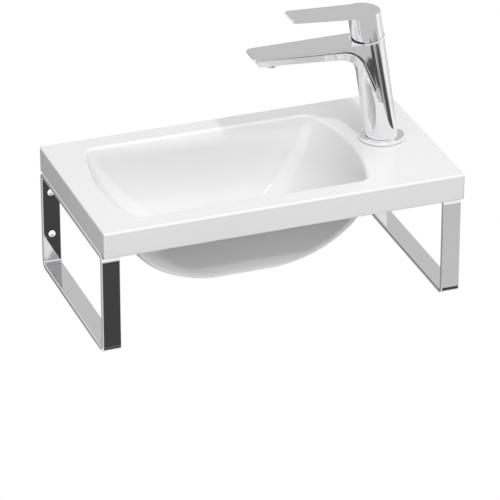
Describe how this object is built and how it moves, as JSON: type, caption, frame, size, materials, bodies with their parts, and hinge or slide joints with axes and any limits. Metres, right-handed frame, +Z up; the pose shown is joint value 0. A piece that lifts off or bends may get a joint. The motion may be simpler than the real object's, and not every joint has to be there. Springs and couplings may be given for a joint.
{
  "type": "wall-hung handrinse basin",
  "caption": "Compact rectangular ceramic handrinse basin on chrome loop brackets that serve as towel rails, with a leaning single-lever mixer tap at its right-hand end.",
  "frame": {"origin": "centre of the four wall holes, on the wall plane", "axes": "+X to the right along the wall, +Y into the wall, +Z up; the basin's front faces -Y"},
  "size_m": [0.4, 0.22, 0.3029],
  "materials": {
    "ceramic_glaze": "white gloss glaze",
    "bracket_chrome": "polished chrome plate on flat bar",
    "tap_chrome": "polished chrome plate on cast brass",
    "ring_chrome": "bright chrome plate",
    "steel": "stainless steel",
    "brass": "turned brass",
    "seal_rubber": "black rubber",
    "cartridge_plastic": "moulded acetal",
    "disc_ceramic": "lapped alumina",
    "plug_plastic": "grey moulded plastic"
  },
  "bodies": {
    "root": {"basin": "ceramic_glaze", "basin_inserts": "brass", "left_bracket": "bracket_chrome", "right_bracket": "bracket_chrome", "bracket_screws": "steel", "tap_body": "tap_chrome", "tap_base_ring": "tap_chrome", "trim_ring": "ring_chrome", "base_seal": "seal_rubber", "horseshoe_gasket": "seal_rubber", "inlet_seals": "seal_rubber", "cartridge_o_ring": "seal_rubber", "aerator_seal": "seal_rubber", "horseshoe_washer": "steel", "fixing_stud": "brass", "fixing_nut": "brass", "cartridge_nut": "brass", "cartridge_housing": "cartridge_plastic", "cartridge_base": "cartridge_plastic", "fixed_disc": "disc_ceramic", "aerator_housing": "tap_chrome", "aerator_insert": "plug_plastic"},
    "swivel": {"spindle_guide": "cartridge_plastic", "spindle_pin": "steel"},
    "disc_slide": {"disc_carrier": "cartridge_plastic", "moving_disc": "disc_ceramic"},
    "lever": {"tap_lever": "tap_chrome", "cartridge_spindle": "brass", "lever_set_screw": "steel", "lever_plug": "plug_plastic"}
  },
  "joints": [
    {"name": "lever_swivel", "type": "hinge", "parent": "root", "child": "swivel", "pos_m": [0.1513, -0.1051, 0.079], "axis": [-0.1495, 0, 0.9888], "range_deg": [-50, 50]},
    {"name": "lever_lift", "type": "hinge", "parent": "swivel", "child": "lever", "pos_m": [0.13219, -0.1051, 0.20536], "axis": [0, 1, 0], "range_deg": [0, 20]},
    {"name": "disc_travel", "type": "slide", "parent": "swivel", "child": "disc_slide", "axis": [-0.9888, 0, -0.1495], "range_m": [0, 0.0055]}
  ],
  "couplings": [
    {"joint": "disc_travel", "follows": "lever_lift", "m_per_rad": 0.0155}
  ]
}
